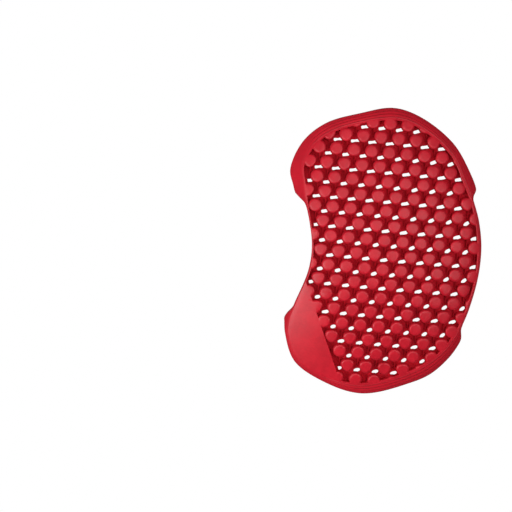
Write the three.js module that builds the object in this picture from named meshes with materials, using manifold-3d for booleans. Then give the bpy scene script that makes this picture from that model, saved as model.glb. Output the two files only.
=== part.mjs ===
// Hip protector: one pad of soft moulded elastomer, domed to lie over the hip bone.
// A rounded border and a smooth corner panel frame a field of flat-topped studs. The studs stand
// on a thin web, which has a gap through it between two studs of a row and one of the row below.
// The pad is drawn in plan, with its crest at the plan's origin, and then draped: each height is
// lowered by the fall of a dome with two radii. Millimetres, +Z up, studs up, at rest on its rim.
// The origin lies on the ground, under the middle of the pad's box.
import * as THREE from 'three';
import { mergeGeometries, mergeVertices } from 'three/addons/utils/BufferGeometryUtils.js';
import Module from 'manifold-3d';

const wasm = await Module();
wasm.setup();

// Upright heights through the pad, from the side that lies on the body
const THICKNESS = 10;
const WEB = 3;
const LIP = 5;
const OUTER_WALL = 4;
const OVERCUT = 1;

// Dome radii at the stud tops, the turn that levels the rim, and the depth ground off to stand on
const CROSS_RADIUS = 165;
const LENGTH_RADIUS = 300;
const LEVELLING = THREE.MathUtils.degToRad(-0.8);
const RIM_LAND = 0.6;
const SAG = 0.45;

// Stud lattice: every second row is staggered by half a pitch and has three-cornered studs.
// The columns close up by the fan towards the top and open by their spread towards the right.
// The rows bow down at both ends and open by their spread away from the crest.
const STUD_PITCH = 12.46;
const ROW_PITCH = 9.92;
const ROW_SLIP = -0.29;
const ROW_LEAN = THREE.MathUtils.degToRad(-5.1);
const LATTICE_CENTRE = new THREE.Vector2(3.85, 9.43);
const COLUMN_FAN = 0.00041;
const COLUMN_SPREAD = 0.00023;
const ROW_BOW = 0.0001;
const ROW_SPREAD = 0.00006;
const LOWEST_ROW = -11;
const HIGHEST_ROW = 9;
const HALF_ROW = 8;

const STUD_TOP_RADIUS = 4.4;
const STUD_BASE_RADIUS = 4.6;
const STUD_CORNER = 0.065;
const ROUND_SIDES = 8;
const CORNERED_SIDES = 9;

// Gap: an oblong hexagon below the middle of two studs, cut only this far inside the field.
// Below a staggered row it is wide, and below the others it is shorter and turned more.
const GAP_OFFSET = new THREE.Vector2(0.85, -3.9);
const WIDE_GAP = { halfWidth: 2.7, halfHeight: 1.4, turn: THREE.MathUtils.degToRad(11) };
const SHORT_GAP = { halfWidth: 2.3, halfHeight: 1.4, turn: THREE.MathUtils.degToRad(24) };
const GAP_FLAT_SHARE = 0.55;
const GAP_CLEARANCE = 5;

// Border: flat rim beside the field, a rounded fall from the shoulder to the lip, then the outer wall
const RIM_WIDTH = 0.8;
const BORDER_ROUNDING = 1.3;
const BORDER_STEPS = [0, 0.5, 0.94];
const STATIONS = 108;
const CURVE_STEPS = 24;

// Outer edge in plan, anticlockwise from the right: across, along
const EDGE = [
  [72.5, 4], [70.5, 23], // right bulge
  [66.8, 35.5], [68.5, 45], // upper right notch
  [63, 58.5], [51.5, 76], [30, 93.5], [11, 100], [-11.5, 96.5], [-36, 89.5], // top
  [-51.5, 76.5], [-60.5, 58.5], // upper left lobe
  [-58, 43.5], [-50.5, 35], // upper left notch
  [-47.5, 20.5], [-45.3, 4], [-48, -12.5], [-57.5, -35], // waist
  [-64, -46.5], [-64.2, -56.5], [-57.5, -77], // lower left corner
  [-38, -91], [-10, -99.5], [23, -92], [38, -86], [50.5, -75], // foot
  [59.3, -62.5], [58.5, -55.5], // lower right notch
  [64.7, -40], [71, -16], // right bulge
];

// Shoulder, where the border reaches the level of the stud tops: across, along
const SHOULDER = [
  [69, 2], [66.5, 24], // right bulge
  [59.5, 47], [51, 66.5], [35, 82], [15, 91.5], [-18, 88], [-39.5, 78.5], // top
  [-51, 61.5], [-49.5, 47], // upper left lobe
  [-47, 30], [-42.5, 4], [-45, -12], [-53.5, -31], // waist
  [-61, -48], [-61.5, -57.5], [-55, -75], // lower left corner
  [-35.5, -86.5], [-12, -91.5], [24, -82], [43.5, -69.5], // foot
  [53.5, -56.5], [61, -40], [67.5, -17], // right bulge
];

// Straight inner edge of the smooth corner panel
const PANEL_TOP = new THREE.Vector2(-46, -29);
const PANEL_FOOT = new THREE.Vector2(-28, -82);

// Distance from the crest to a smooth closed curve, as a function of direction
function radiusOf(rows) {
  const points = rows.map(([across, along]) => new THREE.Vector3(across, along, 0));
  const curve = new THREE.CatmullRomCurve3(points, true, 'centripetal');
  const samples = curve.getPoints(rows.length * CURVE_STEPS)
    .map((point) => ({ angle: Math.atan2(point.y, point.x), radius: point.length() }))
    .sort((a, b) => a.angle - b.angle);
  const turn = 2 * Math.PI;
  return (direction) => {
    const angle = Math.atan2(Math.sin(direction), Math.cos(direction));
    const found = samples.findIndex((sample) => sample.angle >= angle);
    const after = samples.at(Math.max(found, 0));
    const before = samples.at(Math.max(found, 0) - 1);
    const span = THREE.MathUtils.euclideanModulo(after.angle - before.angle, turn);
    const way = THREE.MathUtils.euclideanModulo(angle - before.angle, turn);
    return THREE.MathUtils.lerp(before.radius, after.radius, span > 0 ? way / span : 0);
  };
}

const edgeRadius = radiusOf(EDGE);
const shoulderRadius = radiusOf(SHOULDER);

// Distance from the crest to the edge of the stud field: inside the rim and beside the panel
function fieldRadius(direction) {
  const panelEdge = PANEL_FOOT.clone().sub(PANEL_TOP).normalize();
  const across = new THREE.Vector2(panelEdge.y, -panelEdge.x);
  const facing = across.x * Math.cos(direction) + across.y * Math.sin(direction);
  const panel = facing > 0 ? across.dot(PANEL_TOP) / facing : Infinity;
  return Math.min(shoulderRadius(direction) - RIM_WIDTH, panel);
}

function insideField(point, margin) {
  return point.length() + margin < fieldRadius(point.angle());
}

// Place in plan of a column and row of the lattice, whole or between studs
function latticePoint(column, row) {
  const point = new THREE.Vector2(column * STUD_PITCH + row * ROW_SLIP, row * ROW_PITCH)
    .rotateAround(new THREE.Vector2(), ROW_LEAN)
    .add(LATTICE_CENTRE);
  const { x: across, y: along } = point;
  return point.set(
    across - COLUMN_FAN * across * along + COLUMN_SPREAD * across ** 2,
    along - ROW_BOW * across ** 2 + ROW_SPREAD * along ** 2,
  );
}

// Moves every vertex of a geometry by a function of its place
function reshape(geometry, move) {
  const place = geometry.attributes.position;
  const vertex = new THREE.Vector3();
  for (let i = 0; i < place.count; i += 1) {
    move(vertex.fromBufferAttribute(place, i));
    place.setXYZ(i, vertex.x, vertex.y, vertex.z);
  }
  return geometry;
}

// Closed solid for cutting, from a geometry whose seams are welded
function solid(geometry) {
  const bare = geometry.clone();
  bare.deleteAttribute('normal');
  bare.deleteAttribute('uv');
  const welded = mergeVertices(bare);
  return new wasm.Manifold(new wasm.Mesh({
    numProp: 3,
    vertProperties: new Float32Array(welded.attributes.position.array),
    triVerts: new Uint32Array(welded.index.array),
  }));
}

function geometryOf(body) {
  const { vertProperties, triVerts } = body.getMesh();
  const geometry = new THREE.BufferGeometry();
  geometry.setAttribute('position', new THREE.BufferAttribute(vertProperties, 3));
  return geometry.setIndex(new THREE.BufferAttribute(triVerts, 1));
}

// Block with the whole outline: a turned section, stretched at each station to shoulder and edge
function borderBlock() {
  const section = [[0, 0], [2, 0], [2, OUTER_WALL]].map((corner) => new THREE.Vector2(...corner));
  for (const out of [...BORDER_STEPS].reverse()) {
    section.push(new THREE.Vector2(1 + out, THICKNESS - (THICKNESS - LIP) * out ** BORDER_ROUNDING));
  }
  section.push(new THREE.Vector2(0, THICKNESS));
  const turned = new THREE.LatheGeometry(section, STATIONS).rotateX(Math.PI / 2);
  return reshape(turned, (vertex) => {
    const direction = Math.atan2(vertex.y, vertex.x);
    const reach = Math.hypot(vertex.x, vertex.y);
    const shoulder = shoulderRadius(direction);
    const border = edgeRadius(direction) - shoulder;
    const radius = Math.min(reach, 1) * shoulder + Math.max(reach - 1, 0) * border;
    vertex.x = radius * Math.cos(direction);
    vertex.y = radius * Math.sin(direction);
  });
}

// Pocket whose floor is the web
function fieldPocket() {
  const rim = Array.from({ length: STATIONS }, (_, i) => {
    const direction = (i / STATIONS) * 2 * Math.PI;
    const reach = fieldRadius(direction);
    return new THREE.Vector2(reach * Math.cos(direction), reach * Math.sin(direction));
  });
  const depth = THICKNESS - WEB + OVERCUT;
  const pocket = new THREE.ExtrudeGeometry(new THREE.Shape(rim), { depth, bevelEnabled: false });
  return pocket.translate(0, 0, WEB);
}

// Tapered stud through the whole pad, round or with three soft corners, one of them downwards
function stud(centre, cornered) {
  const taper = (STUD_BASE_RADIUS - STUD_TOP_RADIUS) / (THICKNESS - WEB);
  const foot = STUD_BASE_RADIUS + taper * (WEB + OVERCUT);
  const head = STUD_TOP_RADIUS - taper * OVERCUT;
  const sides = cornered ? CORNERED_SIDES : ROUND_SIDES;
  const column = new THREE.CylinderGeometry(head, foot, THICKNESS + 2 * OVERCUT, sides);
  column.rotateX(Math.PI / 2).translate(0, 0, THICKNESS / 2);
  return reshape(column, (vertex) => {
    const down = Math.atan2(vertex.y, vertex.x) + Math.PI / 2;
    const swell = cornered ? 1 + STUD_CORNER * Math.cos(3 * down) : 1;
    vertex.set(vertex.x * swell + centre.x, vertex.y * swell + centre.y, vertex.z);
  });
}

// Oblong gap through the web
function gap(centre, { halfWidth, halfHeight, turn }) {
  const flat = GAP_FLAT_SHARE;
  const corners = [[1, 0], [flat, 1], [-flat, 1], [-1, 0], [-flat, -1], [flat, -1]];
  const outline = corners.map(([across, along]) => (
    new THREE.Vector2(across * halfWidth, along * halfHeight)
      .rotateAround(new THREE.Vector2(), ROW_LEAN + turn)
      .add(centre)
  ));
  const depth = WEB + 2 * OVERCUT;
  const hole = new THREE.ExtrudeGeometry(new THREE.Shape(outline), { depth, bevelEnabled: false });
  return hole.translate(0, 0, -OVERCUT);
}

// Everything that is hollow in the flat block: pocket and gaps, with the studs left standing
function fieldVoids() {
  const gapOffset = GAP_OFFSET.clone().rotateAround(new THREE.Vector2(), ROW_LEAN);
  const studs = [];
  const gaps = [];
  for (let row = LOWEST_ROW; row <= HIGHEST_ROW; row += 1) {
    const staggered = row % 2 !== 0;
    for (let place = -HALF_ROW; place <= HALF_ROW; place += 1) {
      const column = staggered ? place + 0.5 : place;
      const centre = latticePoint(column, row);
      if (insideField(centre, -STUD_BASE_RADIUS)) studs.push(stud(centre, staggered));
      const between = latticePoint(column + 0.5, row).add(gapOffset);
      const shape = staggered ? WIDE_GAP : SHORT_GAP;
      if (insideField(between, GAP_CLEARANCE)) gaps.push(gap(between, shape));
    }
  }
  return solid(fieldPocket()).add(solid(mergeGeometries(gaps))).subtract(solid(mergeGeometries(studs)));
}

// Place of a point of the flat block once it is draped, with the crest at the stud tops
function drape(point) {
  const crossFall = CROSS_RADIUS - Math.sqrt(CROSS_RADIUS ** 2 - point.x ** 2);
  const lengthFall = LENGTH_RADIUS - Math.sqrt(LENGTH_RADIUS ** 2 - point.y ** 2);
  return new THREE.Vector3(point.x, point.y, point.z - THICKNESS - crossFall - lengthFall);
}

// Halves every edge whose middle would stand off the dome by more than the sag
function splitForDome(geometry) {
  const place = geometry.attributes.position;
  const points = Array.from({ length: place.count }, (_, i) => (
    new THREE.Vector3().fromBufferAttribute(place, i)
  ));
  let corners = Array.from(geometry.index.array);
  let before = 0;
  while (before !== corners.length) {
    before = corners.length;
    const known = points.length;
    const middles = new Map();
    const next = [];
    const middle = (a, b) => points[a].clone().lerp(points[b], 0.5);
    const standOff = ([a, b]) => (Math.max(a, b) < known
      ? drape(middle(a, b)).distanceTo(drape(points[a]).lerp(drape(points[b]), 0.5)) : 0);
    const middleIndex = (a, b) => {
      const key = Math.min(a, b) * known + Math.max(a, b);
      if (!middles.has(key)) middles.set(key, points.push(middle(a, b)) - 1);
      return middles.get(key);
    };
    const halve = (a, b, c) => {
      const sides = [[a, b, c], [b, c, a], [c, a, b]];
      const worseOf = (one, other) => (standOff(other) > standOff(one) ? other : one);
      const [from, to, apex] = sides.reduce(worseOf);
      if (standOff([from, to]) <= SAG) {
        next.push(a, b, c);
        return;
      }
      const cut = middleIndex(from, to);
      halve(from, cut, apex);
      halve(cut, to, apex);
    };
    for (let i = 0; i < corners.length; i += 3) halve(...corners.slice(i, i + 3));
    corners = next;
  }
  return new THREE.BufferGeometry().setFromPoints(points).setIndex(corners);
}

// The whole moulding: cut flat, draped, levelled, stood on the ground and centred
function hipPad() {
  const flat = geometryOf(solid(borderBlock()).subtract(fieldVoids()));
  const domed = reshape(splitForDome(flat), (vertex) => vertex.copy(drape(vertex)));
  domed.rotateX(LEVELLING).computeBoundingBox();
  const { min, max } = domed.boundingBox;
  domed.translate(-(min.x + max.x) / 2, -(min.y + max.y) / 2, -min.z - RIM_LAND);
  const span = 2 * Math.max(max.x - min.x, max.y - min.y);
  const ground = new THREE.BoxGeometry(span, span, span).translate(0, 0, -span / 2);
  return geometryOf(solid(domed).subtract(solid(ground)));
}

const elastomer = new THREE.MeshStandardMaterial({ color: 0xc8283a, roughness: 0.6, metalness: 0 });

const hipProtector = new THREE.Group();
const pad = new THREE.Mesh(hipPad(), elastomer);
pad.name = 'hip_pad';
hipProtector.add(pad);

export default hipProtector;
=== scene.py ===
"""Hip protector: one domed pad of red elastomer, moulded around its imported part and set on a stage.

The pad is drawn in plan, with its crest at the plan's origin: across, along and an upright height from
the side that lies on the body. Each solid is draped over the dome and then they are cut from each other:
the body loses a pocket and its gaps, and the studs and ribs are left standing.
"""

import math

import bmesh
import bpy
import numpy as np
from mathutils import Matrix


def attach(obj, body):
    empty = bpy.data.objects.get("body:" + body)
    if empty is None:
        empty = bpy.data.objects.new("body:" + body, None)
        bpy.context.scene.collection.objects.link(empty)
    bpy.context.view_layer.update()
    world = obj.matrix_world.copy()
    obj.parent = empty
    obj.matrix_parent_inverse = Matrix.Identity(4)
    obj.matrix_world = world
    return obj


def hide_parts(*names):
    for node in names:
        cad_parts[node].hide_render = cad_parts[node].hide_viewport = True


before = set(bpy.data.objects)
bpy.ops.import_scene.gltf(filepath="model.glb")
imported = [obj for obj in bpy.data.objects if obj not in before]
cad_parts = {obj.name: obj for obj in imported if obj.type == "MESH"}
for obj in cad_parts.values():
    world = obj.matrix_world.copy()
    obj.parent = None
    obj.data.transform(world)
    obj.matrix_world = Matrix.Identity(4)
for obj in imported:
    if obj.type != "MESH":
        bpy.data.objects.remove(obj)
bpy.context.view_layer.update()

bl_info = {
    "name": "Hip protector",
    "version": (1, 0, 0),
    "blender": (4, 5, 0),
    "location": "3D View > Sidebar > Hip protector",
    "description": "Moulds a studded hip pad around its packed part and sets it on a pale stage",
    "category": "Object",
}

MM = 0.001
TURN = 2 * math.pi
NEARLY_ZERO = 1e-6

# Attribute that tells the finish how much painted light each vertex gets: paler on the stud tops as a
# painted sheen, deep red in the channels and over the border as painted shade
PAINTED_LIGHT = "lit"

# Cut mesh: shortest edge, most that a straight run bends, and least turn between faces that shows as an edge
SLIVER = 0.003 * MM
STRAIGHT = math.radians(1)
SHARP = math.radians(38)

# Stations round the outline, columns across caps, sides and corners of small shapes, steps between two rows
STATIONS = 560
BODY_COLUMNS = 34
POCKET_COLUMNS = 28
STUD_SIDES = 18
STUD_CORNERS = 3
GAP_SIDES = 16
CURVE_STEPS = 24

# Directions of the stations, anticlockwise from the top
DIRECTIONS = math.pi / 2 + np.arange(STATIONS) * TURN / STATIONS

# Rows and places of the stud lattice that can reach the field
ROWS = np.arange(-11, 10)
PLACES = np.arange(-8, 9)

# Outer edge in plan in millimetres, anticlockwise from the right: across, along
EDGE = [
    (72, 4), (70, 22.5),  # right bulge
    (66.5, 35), (66, 37), (66.5, 39.5), (68, 42), (68.5, 44),  # upper right notch
    (63, 58), (52, 76), (30, 93.5), (11, 100), (-11.5, 96.5), (-36, 89.5),  # top
    (-52, 76.5), (-60.5, 57.5),  # upper left lobe
    (-58.5, 47), (-57, 41.5), (-56, 40), (-52, 36.5), (-50, 33.5),  # upper left notch
    (-47, 20.5), (-45.5, 4), (-48, -12.5), (-57, -34.5),  # waist
    (-58.5, -38), (-62.5, -42.5), (-64.5, -46), (-64.5, -48.5),  # lower left notch
    (-64, -56.5), (-57.5, -76.5),  # lower left corner
    (-38, -90.5), (-10, -99.5), (23, -92), (38, -85.5), (50.5, -74.5),  # foot
    (57, -65.5), (59, -61), (59, -58), (58.5, -54.5), (59, -51.5),  # lower right notch
    (63.5, -40), (70, -16),  # right bulge
]

# Shoulder, where the border reaches the level of the stud tops, in millimetres: across, along
SHOULDER = [
    (69.5, 3), (67.5, 23),  # right bulge
    (64, 36.5), (59.5, 47.5), (51, 66.5), (35, 82), (15, 91.5), (-18, 88), (-39.5, 78.5),  # top
    (-51, 61.5), (-50, 47), (-48.5, 34),  # upper left lobe
    (-46.5, 21), (-45, 4), (-47, -12), (-55, -31),  # waist
    (-61, -48), (-61.5, -57.5), (-55, -75),  # lower left corner
    (-35.5, -86.5), (-12, -91.5), (24, -82), (43.5, -69.5),  # foot
    (54, -56), (61.5, -40), (68, -17),  # right bulge
]

# Ends of the smooth corner panel's straight inner edge: across, along
PANEL_TOP = np.array((-46, -29)) * MM
PANEL_FOOT = np.array((-28, -82)) * MM

# Terraced stretches of the border in degrees anticlockwise from the right: start, end; and how far they fade
TERRACED = [(33, 118), (252, 314)]
TERRACE_FADE = 9

# Terraces across the border, as shares of its width: start, middle of the riser, end; and half a riser
TERRACES = [(0.08, 0.2, 0.33), (0.33, 0.46, 0.58), (0.58, 0.72, 0.86)]
HALF_RISER = 0.04

# Shares of the border's width with a ring besides those of the terraces, and the power of its fall
BORDER_SHARES = (0, 0.04, 0.14, 0.27, 0.39, 0.52, 0.65, 0.79, 0.9)
BORDER_ROUNDING = 1.3

# Rings round the edge in millimetres: inset, share of the edge's own height, height added to that
LIP_RINGS = [(0.25, 1, -0.15), (0.07, 1, -0.7), (0, 1, -1.6), (0, 0, 0.5), (0.15, 0, 0.15), (0.5, 0, 0)]

# Rings of the pocket from its mouth to its floor in millimetres: reach past the field, height above the web
POCKET_RINGS = [(0.8, 8.5), (0.55, 7), (0.25, 6.75), (0.1, 6.2), (0, 0.8), (-0.15, 0.25), (-0.6, 0)]

# Rings of a stud in millimetres: swell past its taper, height
STUD_RINGS = [
    (-1.4, 11), (-1.4, 10), (-0.7, 9.82), (-0.14, 9.25), (0, 8.6), (0, 3.4), (0.22, 3), (0.22, 1.8),
]

# Rings of a gap in millimetres: swell, height
GAP_RINGS = [(0.25, 4.5), (0.25, 3), (0.06, 2.75), (0, 2.35), (0.75, 0.2), (0.95, 0), (1.2, -1)]

# Most that a gap is pinched, as a share of its half height
PINCH_LIMIT = 0.7

# Section of a rib, as shares of its half width and of its height over the web: across, up
RIB_SECTION = [(-1.4, -0.4), (-1, 0.85), (0, 1), (1, 0.85), (1.4, -0.4)]

# Finish: span of the noise that mottles the red, and what the specks add to the mottling and the roughness
NOISE_SPAN = (0.3, 0.7)
SPECK_MOTTLING = 0.5
SPECK_ROUGHNESS = 0.2

# Colour sockets of a Mix node: first, second, result
MIX_FIRST = 6
MIX_SECOND = 7
MIX_RESULT = 2


def smooth(value):
    """Eased step: 0 below 0, 1 above 1, and three times the square less twice the cube between."""
    held = np.clip(value, 0, 1)
    return held * held * (3 - 2 * held)


def closed_curve(rows):
    """Smooth closed curve through a table's rows, in metres.
    Each span is a cubic with the ends' positions and tangents. A tangent at a row is the slope from the
    row before, less the slope between both neighbours, plus the slope to the row after. A slope is a step
    divided by the square root of its length, and between both neighbours by the two roots added."""
    here = np.array(rows, float) * MM
    before = np.roll(here, 1, 0)
    after = np.roll(here, -1, 0)
    beyond = np.roll(here, -2, 0)
    pace = [np.sqrt(np.linalg.norm(b - a, axis=1))[:, None]
            for a, b in ((before, here), (here, after), (after, beyond))]
    leave = (here - before) / pace[0] - (after - before) / (pace[0] + pace[1]) + (after - here) / pace[1]
    arrive = (after - here) / pace[1] - (beyond - here) / (pace[1] + pace[2]) + (beyond - after) / pace[2]
    t = (np.arange(CURVE_STEPS) / CURVE_STEPS)[:, None, None]
    curve = (2 * t**3 - 3 * t**2 + 1) * here + (3 * t**2 - 2 * t**3) * after
    curve = curve + ((t**3 - 2 * t**2 + t) * leave + (t**3 - t**2) * arrive) * pace[1]
    return curve.transpose(1, 0, 2).reshape(-1, 2)


def reach_of(rows, direction):
    """Distance from the crest to a table's closed curve in each direction, read off between its points."""
    curve = closed_curve(rows)
    return np.interp(direction, np.arctan2(curve[:, 1], curve[:, 0]), np.hypot(*curve.T), period=TURN)


def field_reach(direction, sizes):
    """Distance from the crest to the edge of the stud field: the shoulder less the rim, or the panel's
    straight edge where that is nearer."""
    run = (PANEL_FOOT - PANEL_TOP) / np.linalg.norm(PANEL_FOOT - PANEL_TOP)
    square = np.array((run[1], -run[0]))
    facing = square[0] * np.cos(direction) + square[1] * np.sin(direction)
    panel = square @ PANEL_TOP / np.maximum(facing, NEARLY_ZERO)
    panel = np.where(facing > NEARLY_ZERO, panel, np.inf)
    return np.minimum(reach_of(SHOULDER, direction) - sizes.rim_width, panel)


def inside_field(centres, margin, sizes):
    """True for each centre that lies at least the margin inside the stud field."""
    direction = np.arctan2(centres[:, 1], centres[:, 0])
    return np.hypot(*centres.T) + margin < field_reach(direction, sizes)


def turned(points, angle):
    """Points of the plan turned anticlockwise about its origin."""
    across = points[..., 0] * np.cos(angle) - points[..., 1] * np.sin(angle)
    along = points[..., 0] * np.sin(angle) + points[..., 1] * np.cos(angle)
    return np.stack([across, along], -1)


def lattice(sizes, shift=0.0):
    """Places of the lattice, moved along its rows by a share of the pitch, and which rows are staggered.
    A place is its column times the stud pitch plus its row times the slip, and its row times the row
    pitch, turned by the lean and moved to the lattice's centre. Odd rows stand half a pitch over. Across
    then loses the fan times across times along and gains the spread times its square. Along loses the bow
    times the square of across and gains the row spread times its square."""
    row, place = (grid.ravel() for grid in np.meshgrid(ROWS, PLACES, indexing="ij"))
    staggered = row % 2 != 0
    across = (place + 0.5 * staggered + shift) * sizes.stud_pitch + row * sizes.row_slip
    plan = turned(np.stack([across, row * sizes.row_pitch], -1), sizes.row_lean)
    across, along = (plan + np.array(sizes.lattice_centre)).T
    moved = across - sizes.column_fan * across * along + sizes.column_spread * across**2
    raised = along - sizes.row_bow * across**2 + sizes.row_spread * along**2
    return np.stack([moved, raised], -1), staggered


def gap_places(sizes):
    """Middles of the gaps inside the field, below the middle of two studs, and which rows are staggered."""
    centres, staggered = lattice(sizes, 0.5)
    centres = centres + turned(np.array(sizes.gap_offset), sizes.row_lean)
    kept = inside_field(centres, sizes.gap_clearance, sizes)
    return centres[kept], staggered[kept]


def dome_fall(across, along, sizes):
    """Fall of the dome from its crest: the falls of two circles added, each its radius less the root of
    the radius squared less across or along squared."""
    fall = sizes.cross_radius - np.sqrt(sizes.cross_radius**2 - across**2)
    return fall + sizes.length_radius - np.sqrt(sizes.length_radius**2 - along**2)


def drape(points, sizes):
    """Place in the part's frame of points of the plan.
    A height is measured from the stud tops and lowered by the dome's fall. The whole is turned about the
    X axis by the levelling and moved to the crest."""
    across, along, height = np.moveaxis(points, -1, 0)
    drop = height - sizes.thickness - dome_fall(across, along, sizes)
    level = turned(np.stack([along, drop], -1), sizes.levelling)
    return np.concatenate([across[..., None], level], -1) + np.array(sizes.crest)


def height_in_plan(points, sizes):
    """Upright height over the body's side of points of the part's frame: the drape undone."""
    across, along, level = np.moveaxis(points - np.array(sizes.crest), -1, 0)
    along, level = np.moveaxis(turned(np.stack([along, level], -1), -sizes.levelling), -1, 0)
    return level + sizes.thickness + dome_fall(across, along, sizes)


def note_painted_light(pad, sizes, finish):
    """Keeps how much painted light each vertex gets, for the finish to read: paler on the stud tops as a
    painted sheen, deep red in the channels and over the border as painted shade.
    It is an eased step of the height up to the stud tops, times one less an eased step out over the
    border."""
    mesh = pad.data
    places = np.empty(len(mesh.vertices) * 3, np.float32)
    mesh.vertices.foreach_get("co", places)
    places = places.reshape(-1, 3).astype(float)
    across, along = (places - np.array(sizes.crest))[:, :2].T
    direction = np.arctan2(along, across)
    border = np.hypot(across, along) - reach_of(SHOULDER, direction)
    height = height_in_plan(places, sizes) / sizes.thickness
    lit = smooth((height - finish.lit_from) / (1 - finish.lit_from))
    lit = lit * (1 - smooth(border / finish.shaded_border))
    mesh.attributes.new(PAINTED_LIGHT, "FLOAT", "POINT").data.foreach_set("value", lit.astype(np.float32))


def flat_rings(reach, height, direction):
    """Rings of points round the crest, ring by station: reach along each direction, at a height."""
    height = np.broadcast_to(height, reach.shape)
    return np.stack([reach * np.cos(direction), reach * np.sin(direction), height], -1)


def chord_cap(ring, columns):
    """Inner points and faces of a cap on a ring of stations, which are counted from its top.
    Each station on the left is joined to its mirror on the right by a chord in equal lengths. Indices
    below the ring's length are stations, and the rest are inner points."""
    half = len(ring) // 2
    left = np.arange(1, half)
    right = len(ring) - left
    share = (np.arange(1, columns) / columns)[None, :, None]
    inner = ring[left][:, None] * (1 - share) + ring[right][:, None] * share
    index = np.zeros((half + 1, columns + 1), int)
    index[half] = half
    index[1:half, 0] = left
    index[1:half, columns] = right
    index[1:half, 1:columns] = len(ring) + np.arange(inner[..., 0].size).reshape(inner.shape[:2])
    quads = np.stack([index[1:-2, :-1], index[2:-1, :-1], index[2:-1, 1:], index[1:-2, 1:]], -1)
    upper = np.stack([index[0, :-1], index[1, :-1], index[1, 1:]], -1)
    lower = np.stack([index[-2, :-1], index[-1, :-1], index[-2, 1:]], -1)
    return inner.reshape(-1, 3), [quads.reshape(-1, 4), upper, lower]


def side_faces(rings, stations):
    """Quads that join each ring to the next, closed round the stations."""
    index = np.arange(rings * stations).reshape(rings, stations)
    ahead = np.roll(index, -1, 1)
    return np.stack([index[:-1], index[1:], ahead[1:], ahead[:-1]], -1).reshape(-1, 4)


def capped_skin(rings, columns):
    """Vertices and faces of one closed solid from its top ring to its bottom ring, with chord caps."""
    count, stations, _ = rings.shape
    vertices = [rings.reshape(-1, 3)]
    faces = [side_faces(count, stations)]
    start = count * stations
    for ring, downwards in ((0, False), (count - 1, True)):
        inner, groups = chord_cap(rings[ring], columns)
        for group in groups:
            placed = np.where(group < stations, group + ring * stations, group - stations + start)
            faces.append(placed[:, ::-1] if downwards else placed)
        vertices.append(inner)
        start += len(inner)
    return np.concatenate(vertices), faces


def repeated_skin(rings):
    """Vertices and faces of many like solids, solid by ring by station, each end closed by one face."""
    solids, count, stations, _ = rings.shape
    last = (count - 1) * stations + np.arange(stations)
    single = [side_faces(count, stations), np.arange(stations)[None], last[None, ::-1]]
    step = (np.arange(solids) * count * stations)[:, None, None]
    faces = [(group[None] + step).reshape(-1, group.shape[1]) for group in single]
    return rings.reshape(-1, 3), faces


def solid_object(name, vertices, faces):
    """Linked object whose mesh has these vertices and these groups of faces."""
    corners = np.concatenate([group.ravel() for group in faces])
    sides = np.concatenate([np.full(len(group), group.shape[1]) for group in faces])
    mesh = bpy.data.meshes.new(name)
    mesh.vertices.add(len(vertices))
    mesh.vertices.foreach_set("co", vertices.astype(np.float32).ravel())
    mesh.loops.add(len(corners))
    mesh.loops.foreach_set("vertex_index", corners.astype(np.int32))
    mesh.polygons.add(len(sides))
    mesh.polygons.foreach_set("loop_start", (np.cumsum(sides) - sides).astype(np.int32))
    mesh.update(calc_edges=True)
    mesh.validate()
    made = bpy.data.objects.new(name, mesh)
    bpy.context.scene.collection.objects.link(made)
    return made


def carve(target, tool, operation):
    """Keeps the target's mesh after a Boolean with the tool, which is used up."""
    cut = target.modifiers.new(operation.lower(), "BOOLEAN")
    cut.operation = operation
    cut.solver = "MANIFOLD"
    cut.object = tool
    before = len(target.data.polygons)
    depsgraph = bpy.context.evaluated_depsgraph_get()
    result = bpy.data.meshes.new_from_object(target.evaluated_get(depsgraph))
    if len(result.polygons) in (0, before):
        raise RuntimeError(f"{tool.name} left no mark on {target.name}")
    target.modifiers.clear()
    spent = [target.data, tool.data]
    target.data = result
    bpy.data.objects.remove(tool)
    for mesh in spent:
        bpy.data.meshes.remove(mesh)


def clear_slivers(mesh):
    """Leaves a cut mesh as one shell, without the crumbs and slivers of the cuts.
    Each vertex starts with its own number, takes the lowest number among its neighbours', and then the
    number of the vertex that this names, until nothing changes. Vertices with one number are one shell.
    All but the largest shell are deleted, and edges shorter than a sliver are dissolved. So are vertices
    on a straight run of two edges. The faces become triangles, and where two of them lie back to back,
    their tip, which no other triangle touches, is deleted."""
    ends = np.empty(len(mesh.edges) * 2, np.int32)
    mesh.edges.foreach_get("vertices", ends)
    start, end = ends.reshape(-1, 2).T
    shell = np.arange(len(mesh.vertices))
    settled = False
    while not settled:
        lowest = shell.copy()
        np.minimum.at(lowest, start, shell[end])
        np.minimum.at(lowest, end, shell[start])
        lowest = lowest[lowest]
        settled = np.array_equal(lowest, shell)
        shell = lowest
    crumbs = np.flatnonzero(shell != np.bincount(shell).argmax())
    whole = bmesh.new()
    whole.from_mesh(mesh)
    whole.verts.ensure_lookup_table()
    bmesh.ops.delete(whole, geom=[whole.verts[index] for index in crumbs], context="VERTS")
    bmesh.ops.dissolve_degenerate(whole, dist=SLIVER, edges=whole.edges)
    joints = [vertex for vertex in whole.verts if len(vertex.link_edges) == 2]
    straight = [vertex for vertex in joints if vertex.calc_edge_angle(math.pi) < STRAIGHT]
    bmesh.ops.dissolve_verts(whole, verts=straight)
    bmesh.ops.triangulate(whole, faces=whole.faces)
    tips = [vertex for vertex in whole.verts if len(vertex.link_faces) == 2]
    bmesh.ops.delete(whole, geom=tips, context="VERTS")
    whole.to_mesh(mesh)
    whole.free()


def terrace_share(direction):
    """How far the terraces stand out: 1 inside each terraced stretch, easing to 0 past its ends."""
    degrees = np.degrees(direction) % 360
    share = np.zeros_like(degrees)
    for start, end in TERRACED:
        eased = smooth((degrees - start) / TERRACE_FADE + 1) * smooth((end - degrees) / TERRACE_FADE + 1)
        share = np.maximum(share, eased)
    return share


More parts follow.
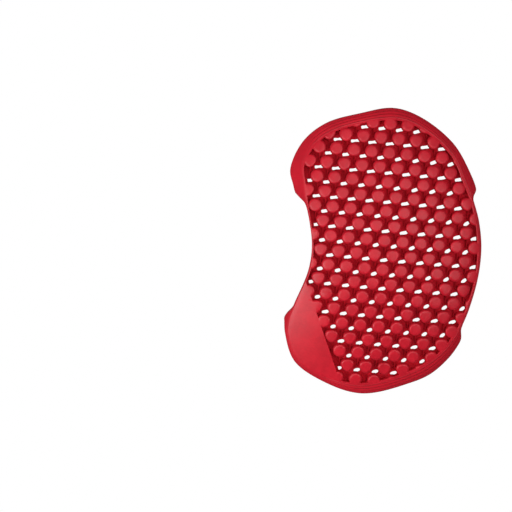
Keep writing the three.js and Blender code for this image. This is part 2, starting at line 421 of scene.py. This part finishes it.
def pad_body(sizes):
    """The block with the whole outline.
    Across the border the height falls as a power of the share of its width, by the slope times that
    width and no lower than the lip. Each terrace adds a rise that is even over its stretch, less a drop
    at its riser. Nothing of it reaches below the ground."""
    shoulder = reach_of(SHOULDER, DIRECTIONS)
    edge = reach_of(EDGE, DIRECTIONS)
    table = np.array(TERRACES)
    risers = np.concatenate([table[:, 1] - HALF_RISER, table[:, 1] + HALF_RISER])
    share = np.unique(np.concatenate([BORDER_SHARES, table[:, 0], table[:, 2], risers]))[:, None]
    even = sum(np.clip((share - start) / (end - start), 0, 1) for start, _, end in TERRACES)
    drop = sum(np.clip((share - riser) / (2 * HALF_RISER) + 0.5, 0, 1) for _, riser, _ in TERRACES)
    fall = np.minimum(sizes.border_slope * (edge - shoulder), sizes.thickness - sizes.lip)
    height = sizes.thickness - fall * share**BORDER_ROUNDING
    height = height + (even - drop) * sizes.terrace_depth * terrace_share(DIRECTIONS)
    border = flat_rings(shoulder + share * (edge - shoulder), height, DIRECTIONS)
    inset, held, added = np.array(LIP_RINGS).T[:, :, None]
    lip = flat_rings(edge - inset * MM, held * (sizes.thickness - fall) + added * MM, DIRECTIONS)
    vertices, faces = capped_skin(np.concatenate([border, lip]), BODY_COLUMNS)
    placed = drape(vertices, sizes)
    placed[:, 2] = np.maximum(placed[:, 2], 0)
    return solid_object("pad_body", placed, faces)


def field_solid(name, rings, sizes, shift=0.0):
    """Solid with the field's outline, from rings that give its reach past the field and its height.
    The whole is moved across by the shift."""
    past, height = rings.T[:, :, None]
    stack = flat_rings(field_reach(DIRECTIONS, sizes) + past, height, DIRECTIONS)
    stack[..., 0] += shift
    vertices, faces = capped_skin(stack, POCKET_COLUMNS)
    return solid_object(name, drape(vertices, sizes), faces)


def studs(sizes):
    """All studs, each from inside the web to above the level of the tops.
    A stud's radius tapers evenly from its base at the web to its top, and swells by its table. In a
    staggered row it also swells by a share times the cosine of the turn from downwards times its number
    of corners."""
    centres, staggered = lattice(sizes)
    kept = inside_field(centres, -sizes.stud_base_radius, sizes)
    swell, height = np.array(STUD_RINGS).T * MM
    rise = (height - sizes.web) / (sizes.thickness - sizes.web)
    radius = sizes.stud_base_radius + (sizes.stud_top_radius - sizes.stud_base_radius) * rise + swell
    angle = np.arange(STUD_SIDES) * TURN / STUD_SIDES
    corner = 1 + sizes.stud_corner * staggered[kept][:, None] * np.cos(STUD_CORNERS * (angle + math.pi / 2))
    reach = radius[None, :, None] * corner[:, None, :]
    rings = flat_rings(reach, height[None, :, None], angle)
    rings[..., :2] += centres[kept][:, None, None, :]
    vertices, faces = repeated_skin(rings)
    return solid_object("studs", drape(vertices, sizes), faces)


def gaps(sizes):
    """All gaps through the web.
    A gap's outline is its half width times the cosine of the turn, and its half height times a power
    below 1 of the sine. The half width grows by the stretch times the gap's place. The half height is
    multiplied by one plus the pinch, and by one less the pinch times the square of the sine. The pinch
    changes with the gap's place, from none up to its limit. The outline is turned by the rows' lean, its
    tilt and the swing times the gap's place. The table flares both mouths."""
    centres, staggered = gap_places(sizes)
    swell, height = np.array(GAP_RINGS).T * MM
    angle = np.arange(GAP_SIDES) * TURN / GAP_SIDES
    wide = np.cos(angle)
    tall = np.sign(np.sin(angle)) * np.abs(np.sin(angle)) ** sizes.gap_fullness
    placed = np.empty((len(centres), len(swell), GAP_SIDES, 3))
    placed[..., 2] = height[:, None]
    for rows, half, tilt, swing, pinch in (
        (staggered, sizes.gap_wide, sizes.gap_tilt[0], sizes.gap_wide_swing, sizes.gap_pinch[0]),
        (~staggered, sizes.gap_round, sizes.gap_tilt[1], sizes.gap_round_swing, sizes.gap_pinch[1]),
    ):
        middle = centres[rows]
        stretch = 1 + middle @ np.array(sizes.gap_stretch)
        across = (half[0] * stretch[:, None, None] + swell[:, None]) * wide
        pinched = np.clip(pinch + middle @ np.array(sizes.gap_pinch_fade), 0, PINCH_LIMIT)[:, None, None]
        waist = (1 + pinched) * (1 - pinched * (1 - wide**2))
        along = (half[1] * waist + swell[:, None]) * tall
        outline = np.stack([across, along], -1)
        turn = sizes.row_lean + tilt + middle @ np.array(swing)
        placed[rows, ..., :2] = turned(outline, turn[:, None, None]) + middle[:, None, None, :]
    vertices, faces = repeated_skin(placed)
    return solid_object("gaps", drape(vertices, sizes), faces)


def ribs(sizes):
    """Low ribs on the web, each from near a gap up between two studs to the stud above.
    A rib is its section carried along a straight path."""
    centres, _ = gap_places(sizes)
    across, up = np.array(RIB_SECTION).T
    height = sizes.web + up * sizes.rib_height
    path = np.array((sizes.row_pitch, sizes.rib_start))
    flat = np.stack(np.broadcast_arrays(across[None] * sizes.rib_width / 2, path[:, None]), -1)
    placed = turned(flat, sizes.row_lean)[None] + centres[:, None, None, :]
    level = np.broadcast_to(height[None, None, :, None], placed[..., :1].shape)
    vertices, faces = repeated_skin(np.concatenate([placed, level], -1))
    return solid_object("ribs", drape(vertices, sizes), faces)


class Shader:
    """A material's node tree, with nodes made by type and linked by socket names."""

    def __init__(self, name):
        self.material = bpy.data.materials.new(name)
        self.material.use_nodes = True
        self.tree = self.material.node_tree
        self.tree.nodes.clear()

    def node(self, kind, settings=None, inputs=None):
        """New node of a type, with its own settings and with input values or links by socket."""
        made = self.tree.nodes.new(kind)
        for name, value in (settings or {}).items():
            setattr(made, name, value)
        for socket, value in (inputs or {}).items():
            if isinstance(value, bpy.types.NodeSocket):
                self.tree.links.new(value, made.inputs[socket])
            else:
                made.inputs[socket].default_value = value
        return made


def elastomer(finish):
    """Matt red elastomer: deep red in its channels and border as painted shade, paler on its tops as a
    painted sheen, with clouds of colour at two scales and a fine moulded grain."""
    shader = Shader("red_elastomer")
    place = shader.node("ShaderNodeTexCoord").outputs["Object"]
    # Mask of the painted light: 1 on the stud tops for a painted sheen, 0 in the channels and border for
    # painted shade
    lit = shader.node("ShaderNodeAttribute", {"attribute_name": PAINTED_LIGHT}).outputs["Fac"]
    cloud, speck, grain = (
        shader.node("ShaderNodeTexNoise", {}, {
            "Vector": place, "Scale": 1 / size, "Detail": 2.0, "Roughness": 0.6}).outputs["Fac"]
        for size in (finish.cloud_size, finish.speck_size, finish.grain_size)
    )
    fine = shader.node("ShaderNodeMath", {"operation": "MULTIPLY_ADD"}, {
        0: speck, 1: SPECK_MOTTLING, 2: -SPECK_MOTTLING / 2})
    mottle = shader.node("ShaderNodeMath", {"operation": "ADD"}, {0: cloud, 1: fine.outputs[0]})
    shade = shader.node("ShaderNodeMapRange", {}, {
        "Value": mottle.outputs[0], "From Min": NOISE_SPAN[0], "From Max": NOISE_SPAN[1],
        "To Min": 1 - finish.mottling, "To Max": 1 + finish.mottling})
    # Paler red on the tops is a painted sheen, deep red in the channels and border is painted shade
    red = shader.node("ShaderNodeMix", {"data_type": "RGBA"}, {
        "Factor": lit, MIX_FIRST: (*finish.shaded_colour, 1), MIX_SECOND: (*finish.colour, 1)})
    mottled = shader.node("ShaderNodeVectorMath", {"operation": "SCALE"}, {
        0: red.outputs[MIX_RESULT], "Scale": shade.outputs["Result"]})
    # Roughness follows the same mask: smoother on the tops, rougher in the channels
    lit_roughness = shader.node("ShaderNodeMapRange", {}, {
        "Value": lit, "To Min": finish.deep_roughness, "To Max": finish.roughness})
    rough = shader.node("ShaderNodeMath", {"operation": "MULTIPLY_ADD"}, {
        0: speck, 1: SPECK_ROUGHNESS, 2: lit_roughness.outputs["Result"]})
    bump = shader.node("ShaderNodeBump", {}, {
        "Height": grain, "Strength": 1.0, "Distance": finish.grain_depth})
    surface = shader.node("ShaderNodeBsdfPrincipled", {}, {
        "Base Color": mottled.outputs["Vector"], "Roughness": rough.outputs[0],
        "Normal": bump.outputs["Normal"], "IOR": finish.ior})
    shader.node("ShaderNodeOutputMaterial", {}, {"Surface": surface.outputs["BSDF"]})
    return shader.material


def pale_floor(stage):
    """Plain pale sheet that glows to the eye and throws back a share of the light."""
    shader = Shader("pale_floor")
    seen = shader.node("ShaderNodeLightPath").outputs["Is Camera Ray"]
    glow = shader.node("ShaderNodeEmission", {}, {"Color": (*stage.floor_colour, 1), "Strength": 1.0})
    sheet = shader.node("ShaderNodeBsdfDiffuse", {}, {"Color": (*[stage.floor_bounce] * 3, 1)})
    both = shader.node("ShaderNodeMixShader", {}, {
        0: seen, 1: sheet.outputs["BSDF"], 2: glow.outputs["Emission"]})
    shader.node("ShaderNodeOutputMaterial", {}, {"Surface": both.outputs["Shader"]})
    return shader.material


class HipPadSizes(bpy.types.PropertyGroup):
    """Sizes of the plan and of the dome that it is draped over."""

    thickness: bpy.props.FloatProperty(
        name="Thickness", description="Height of the stud tops over the side on the body",
        default=10 * MM, unit="LENGTH")
    web: bpy.props.FloatProperty(
        name="Web", description="Thickness of the pierced web", default=3 * MM, unit="LENGTH")
    lip: bpy.props.FloatProperty(
        name="Lip", description="Height of the outer edge", default=5 * MM, unit="LENGTH")
    border_slope: bpy.props.FloatProperty(
        name="Border slope", description="Fall of the border for each metre of its width", default=0.6)
    rim_width: bpy.props.FloatProperty(
        name="Rim", description="Flat rim between the shoulder and the field",
        default=0.8 * MM, unit="LENGTH")
    terrace_depth: bpy.props.FloatProperty(
        name="Terrace", description="Drop at each terrace of the border",
        default=1.25 * MM, unit="LENGTH")
    cross_radius: bpy.props.FloatProperty(
        name="Cross radius", description="Radius of the dome across the pad",
        default=165 * MM, unit="LENGTH")
    length_radius: bpy.props.FloatProperty(
        name="Length radius", description="Radius of the dome along the pad",
        default=300 * MM, unit="LENGTH")
    levelling: bpy.props.FloatProperty(
        name="Levelling", description="Turn about the X axis that sets the rim on the ground",
        default=math.radians(-0.8), subtype="ANGLE")
    crest: bpy.props.FloatVectorProperty(
        name="Crest", description="Place of the plan's origin at the stud tops",
        default=(-3.996 * MM, 0.084 * MM, 28.712 * MM), subtype="TRANSLATION")
    stud_pitch: bpy.props.FloatProperty(
        name="Stud pitch", description="Distance between studs of a row",
        default=12.46 * MM, unit="LENGTH")
    row_pitch: bpy.props.FloatProperty(
        name="Row pitch", description="Distance between rows", default=9.92 * MM, unit="LENGTH")
    row_slip: bpy.props.FloatProperty(
        name="Row slip", description="Sideways step from row to row",
        default=-0.29 * MM, unit="LENGTH")
    row_lean: bpy.props.FloatProperty(
        name="Row lean", description="Turn of the rows", default=math.radians(-5.1), subtype="ANGLE")
    lattice_centre: bpy.props.FloatVectorProperty(
        name="Lattice centre", description="Place of the middle stud", size=2,
        default=(3.85 * MM, 9.43 * MM), subtype="XYZ_LENGTH")
    column_fan: bpy.props.FloatProperty(
        name="Column fan", description="Share by which columns close up, per metre along", default=0.41)
    column_spread: bpy.props.FloatProperty(
        name="Column spread", description="Share by which columns open to the right, per metre",
        default=0.23)
    row_bow: bpy.props.FloatProperty(
        name="Row bow", description="Bow of the rows down at both ends, per metre", default=0.1)
    row_spread: bpy.props.FloatProperty(
        name="Row spread", description="Share by which rows open upwards, per metre", default=0.06)
    stud_top_radius: bpy.props.FloatProperty(
        name="Stud top", description="Radius of a stud at its top", default=4.55 * MM, unit="LENGTH")
    stud_base_radius: bpy.props.FloatProperty(
        name="Stud base", description="Radius of a stud at the web", default=4.65 * MM, unit="LENGTH")
    stud_corner: bpy.props.FloatProperty(
        name="Stud corners", description="Share by which staggered studs swell to three corners",
        default=0.065, subtype="FACTOR", min=0, max=1)
    gap_offset: bpy.props.FloatVectorProperty(
        name="Gap offset", description="Place of a gap from the middle of the two studs above it", size=2,
        default=(0.85 * MM, -3.9 * MM), subtype="XYZ_LENGTH")
    gap_wide: bpy.props.FloatVectorProperty(
        name="Wide gap", description="Half width and half height below a staggered row", size=2,
        default=(2.7 * MM, 1.24 * MM), subtype="XYZ_LENGTH")
    gap_round: bpy.props.FloatVectorProperty(
        name="Round gap", description="Half width and half height below an even row", size=2,
        default=(2.15 * MM, 1.22 * MM), subtype="XYZ_LENGTH")
    gap_tilt: bpy.props.FloatVectorProperty(
        name="Gap tilt", description="Turn from the row below a staggered row and below an even one",
        size=2, default=(math.radians(16), math.radians(24)), subtype="EULER")
    gap_wide_swing: bpy.props.FloatVectorProperty(
        name="Wide gap swing", description="Turn of a wide gap per metre across and along", size=2,
        default=(0.5, -0.9))
    gap_round_swing: bpy.props.FloatVectorProperty(
        name="Round gap swing", description="Turn of a round gap per metre across and along", size=2,
        default=(3.6, -1.9))
    gap_stretch: bpy.props.FloatVectorProperty(
        name="Gap stretch", description="Share by which gaps widen per metre across and along", size=2,
        default=(1.4, 1.8))
    gap_pinch: bpy.props.FloatVectorProperty(
        name="Gap pinch", description="Share taken off the height in the middle of a wide and a round gap",
        size=2, default=(0.28, 0.12))
    gap_pinch_fade: bpy.props.FloatVectorProperty(
        name="Gap pinch fade", description="Change of the pinch per metre across and along", size=2,
        default=(-3.0, 4.0))
    gap_fullness: bpy.props.FloatProperty(
        name="Gap fullness", description="Power below 1 that fills out a gap's ends", default=0.8)
    gap_clearance: bpy.props.FloatProperty(
        name="Gap clearance", description="Least distance of a gap's middle from the field's edge",
        default=0.35 * MM, unit="LENGTH")
    gap_shift: bpy.props.FloatProperty(
        name="Gap shift", description="Distance to the right from the field's edge to where gaps end",
        default=1.5 * MM, unit="LENGTH")
    rib_width: bpy.props.FloatProperty(
        name="Rib width", description="Width of a rib between two studs",
        default=0.8 * MM, unit="LENGTH")
    rib_height: bpy.props.FloatProperty(
        name="Rib height", description="Height of a rib over the web", default=3.0 * MM, unit="LENGTH")
    rib_start: bpy.props.FloatProperty(
        name="Rib start", description="Distance of a rib's end from its gap's middle",
        default=4.2 * MM, unit="LENGTH")


class HipPadFinish(bpy.types.PropertyGroup):
    """Colours of the elastomer, with its painted sheen and shade, and its grain."""

    # Paler red painted on the stud tops as a sheen
    colour: bpy.props.FloatVectorProperty(
        name="Colour", description="Paler red of the rubbed tops", subtype="COLOR",
        default=(0.61, 0.013, 0.028))
    # Deep red painted in the channels and over the border as shade
    shaded_colour: bpy.props.FloatVectorProperty(
        name="Deep colour", description="Deep red of the channels", subtype="COLOR",
        default=(0.56, 0.004, 0.018))
    # Height from which the painted sheen of the tops takes over from the painted shade
    lit_from: bpy.props.FloatProperty(
        name="Rubbed from", description="Share of the thickness from which the red turns paler",
        default=0.75, subtype="FACTOR")
    # Width over which the border fades to the deep red of painted shade
    shaded_border: bpy.props.FloatProperty(
        name="Rubbed border", description="Width of the border over which the red turns deep",
        default=3 * MM, unit="LENGTH")
    mottling: bpy.props.FloatProperty(
        name="Mottling", description="Share by which clouds and specks change the red",
        default=0.1, subtype="FACTOR")
    roughness: bpy.props.FloatProperty(
        name="Roughness", description="Roughness of the rubbed tops before the specks add to it",
        default=0.24, subtype="FACTOR")
    deep_roughness: bpy.props.FloatProperty(
        name="Deep roughness", description="Roughness of the channels before the specks add to it",
        default=0.75, subtype="FACTOR")
    ior: bpy.props.FloatProperty(
        name="Gloss", description="Index of refraction of the surface", default=1.37)
    cloud_size: bpy.props.FloatProperty(
        name="Clouds", description="Size of the clouds of colour", default=14 * MM, unit="LENGTH")
    speck_size: bpy.props.FloatProperty(
        name="Specks", description="Size of the fine mottling", default=1.6 * MM, unit="LENGTH")
    grain_size: bpy.props.FloatProperty(
        name="Grain", description="Size of the moulded grain", default=0.5 * MM, unit="LENGTH")
    grain_depth: bpy.props.FloatProperty(
        name="Grain depth", description="Depth of the moulded grain", default=0.05 * MM, unit="LENGTH")


class HipPadStage(bpy.types.PropertyGroup):
    """Floor, light and camera."""

    floor_colour: bpy.props.FloatVectorProperty(
        name="Floor", description="Colour of the floor to the eye", subtype="COLOR",
        default=(1.0, 1.0, 1.0))
    floor_bounce: bpy.props.FloatProperty(
        name="Bounce", description="Share of the light that the floor throws back",
        default=0.35, subtype="FACTOR")
    floor_size: bpy.props.FloatProperty(
        name="Floor size", description="Side of the floor", default=6.0, unit="LENGTH")
    ambient: bpy.props.FloatProperty(
        name="Ambient", description="Strength of the even light all round", default=0.02)
    key_place: bpy.props.FloatVectorProperty(
        name="Key", description="Place of the soft main light", subtype="TRANSLATION",
        default=(-0.98, -0.17, 0.84))
    key_size: bpy.props.FloatProperty(
        name="Key size", description="Side of the soft main light", default=0.8, unit="LENGTH")
    key_power: bpy.props.FloatProperty(
        name="Key power", description="Power of the soft main light", default=11.6, unit="POWER")
    top_place: bpy.props.FloatVectorProperty(
        name="Top", description="Place of the broad light overhead", subtype="TRANSLATION",
        default=(0.0, 0.36, 1.57))
    top_size: bpy.props.FloatProperty(
        name="Top size", description="Side of the broad light overhead", default=1.4, unit="LENGTH")
    top_power: bpy.props.FloatProperty(
        name="Top power", description="Power of the broad light overhead", default=10.6, unit="POWER")
    fill_place: bpy.props.FloatVectorProperty(
        name="Fill", description="Place of the soft weak light", subtype="TRANSLATION",
        default=(0.75, 0.0, 1.06))
    fill_size: bpy.props.FloatProperty(
        name="Fill size", description="Side of the soft weak light", default=0.8, unit="LENGTH")
    fill_power: bpy.props.FloatProperty(
        name="Fill power", description="Power of the soft weak light", default=4.6, unit="POWER")
    camera_place: bpy.props.FloatVectorProperty(
        name="Camera", description="Place of the camera", subtype="TRANSLATION",
        default=(-71.392 * MM, 86.199 * MM, 993.739 * MM))
    camera_turn: bpy.props.FloatVectorProperty(
        name="Camera turn", description="Turn of the camera from looking straight down", subtype="EULER",
        default=tuple(math.radians(turn) for turn in (-5.1609, 0.9761, -0.0136)))
    lens: bpy.props.FloatProperty(
        name="Lens", description="Focal length in millimetres on a 36 mm sensor", default=100.0)


class HIPPAD_OT_mould(bpy.types.Operator):
    """Mould the pad: body, pocket, gaps, studs and ribs, cut from each other and given their finish"""

    bl_idname = "hip_pad.mould"
    bl_label = "Mould the pad"

    def execute(self, context):
        sizes = context.scene.hip_pad_sizes
        rings = np.array(POCKET_RINGS) * MM + np.array((0, sizes.web))
        hollow = field_solid("pocket", rings, sizes)
        pierced = gaps(sizes)
        # The gaps end at the wall of a well with the field's outline
        well = np.array([(0, sizes.thickness), (0, -sizes.web)])
        carve(pierced, field_solid("well", well, sizes, sizes.gap_shift), "INTERSECT")
        carve(hollow, pierced, "UNION")
        carve(hollow, studs(sizes), "DIFFERENCE")
        carve(hollow, ribs(sizes), "DIFFERENCE")
        pad = pad_body(sizes)
        carve(pad, hollow, "DIFFERENCE")
        clear_slivers(pad.data)
        pad.name = "moulded_pad"
        pad.data.name = "moulded_pad"
        # Marks each vertex with the painted sheen of the tops and the painted shade of the channels and
        # border
        note_painted_light(pad, sizes, context.scene.hip_pad_finish)
        pad.data.shade_smooth()
        pad.data.set_sharp_from_angle(angle=SHARP)
        pad.data.materials.clear()
        pad.data.materials.append(elastomer(context.scene.hip_pad_finish))
        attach(pad, "root")
        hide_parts("hip_pad")
        return {"FINISHED"}


class HIPPAD_OT_stage(bpy.types.Operator):
    """Set the stage: a pale floor, soft lights and the camera"""

    bl_idname = "hip_pad.stage"
    bl_label = "Set the stage"

    def light(self, name, place, size, power):
        """Square soft light at a place, facing the pad."""
        lamp = bpy.data.lights.new(name, "AREA")
        lamp.shape = "SQUARE"
        lamp.size = size
        lamp.energy = power
        made = bpy.data.objects.new(name, lamp)
        made.location = place
        made.rotation_euler = (-made.location).to_track_quat("-Z", "Y").to_euler()
        bpy.context.scene.collection.objects.link(made)

    def execute(self, context):
        scene = context.scene
        stage = scene.hip_pad_stage
        half = stage.floor_size / 2
        corners = np.array([(-half, -half, 0), (half, -half, 0), (half, half, 0), (-half, half, 0)])
        floor = solid_object("floor", corners, [np.arange(4)[None]])
        floor.data.materials.append(pale_floor(stage))
        self.light("key_light", stage.key_place, stage.key_size, stage.key_power)
        self.light("top_light", stage.top_place, stage.top_size, stage.top_power)
        self.light("fill_light", stage.fill_place, stage.fill_size, stage.fill_power)
        world = bpy.data.worlds.new("studio")
        world.use_nodes = True
        nodes = world.node_tree.nodes
        backdrop = nodes["Background"]
        backdrop.inputs["Color"].default_value = (*stage.floor_colour, 1)
        seen = nodes.new("ShaderNodeLightPath")
        level = nodes.new("ShaderNodeMapRange")
        level.inputs["To Min"].default_value = stage.ambient
        world.node_tree.links.new(seen.outputs["Is Camera Ray"], level.inputs["Value"])
        world.node_tree.links.new(level.outputs["Result"], backdrop.inputs["Strength"])
        scene.world = world
        scene.view_settings.view_transform = "Standard"
        lens = bpy.data.cameras.new("camera")
        lens.lens = stage.lens
        camera = bpy.data.objects.new("camera", lens)
        camera.location = stage.camera_place
        camera.rotation_euler = stage.camera_turn
        scene.collection.objects.link(camera)
        scene.camera = camera
        return {"FINISHED"}


class HIPPAD_PT_sidebar(bpy.types.Panel):
    """Sizes, finish and stage of the hip protector"""

    bl_idname = "HIPPAD_PT_sidebar"
    bl_label = "Hip protector"
    bl_space_type = "VIEW_3D"
    bl_region_type = "UI"
    bl_category = "Hip protector"

    def draw(self, context):
        scene = context.scene
        for group, operator in (
            (scene.hip_pad_sizes, None),
            (scene.hip_pad_finish, HIPPAD_OT_mould),
            (scene.hip_pad_stage, HIPPAD_OT_stage),
        ):
            column = self.layout.column(align=True)
            for name in group.__annotations__:
                column.prop(group, name)
            if operator:
                column.operator(operator.bl_idname)


CLASSES = (HipPadSizes, HipPadFinish, HipPadStage, HIPPAD_OT_mould, HIPPAD_OT_stage, HIPPAD_PT_sidebar)


def register():
    """Adds the classes and the scene's own settings."""
    for made in CLASSES:
        bpy.utils.register_class(made)
    bpy.types.Scene.hip_pad_sizes = bpy.props.PointerProperty(type=HipPadSizes)
    bpy.types.Scene.hip_pad_finish = bpy.props.PointerProperty(type=HipPadFinish)
    bpy.types.Scene.hip_pad_stage = bpy.props.PointerProperty(type=HipPadStage)


def unregister():
    """Removes them in the opposite order."""
    del bpy.types.Scene.hip_pad_stage
    del bpy.types.Scene.hip_pad_finish
    del bpy.types.Scene.hip_pad_sizes
    for made in reversed(CLASSES):
        bpy.utils.unregister_class(made)


def main():
    """Registers, moulds the pad and sets the stage."""
    register()
    bpy.ops.hip_pad.mould()
    bpy.ops.hip_pad.stage()


if __name__ == "__main__":
    main()
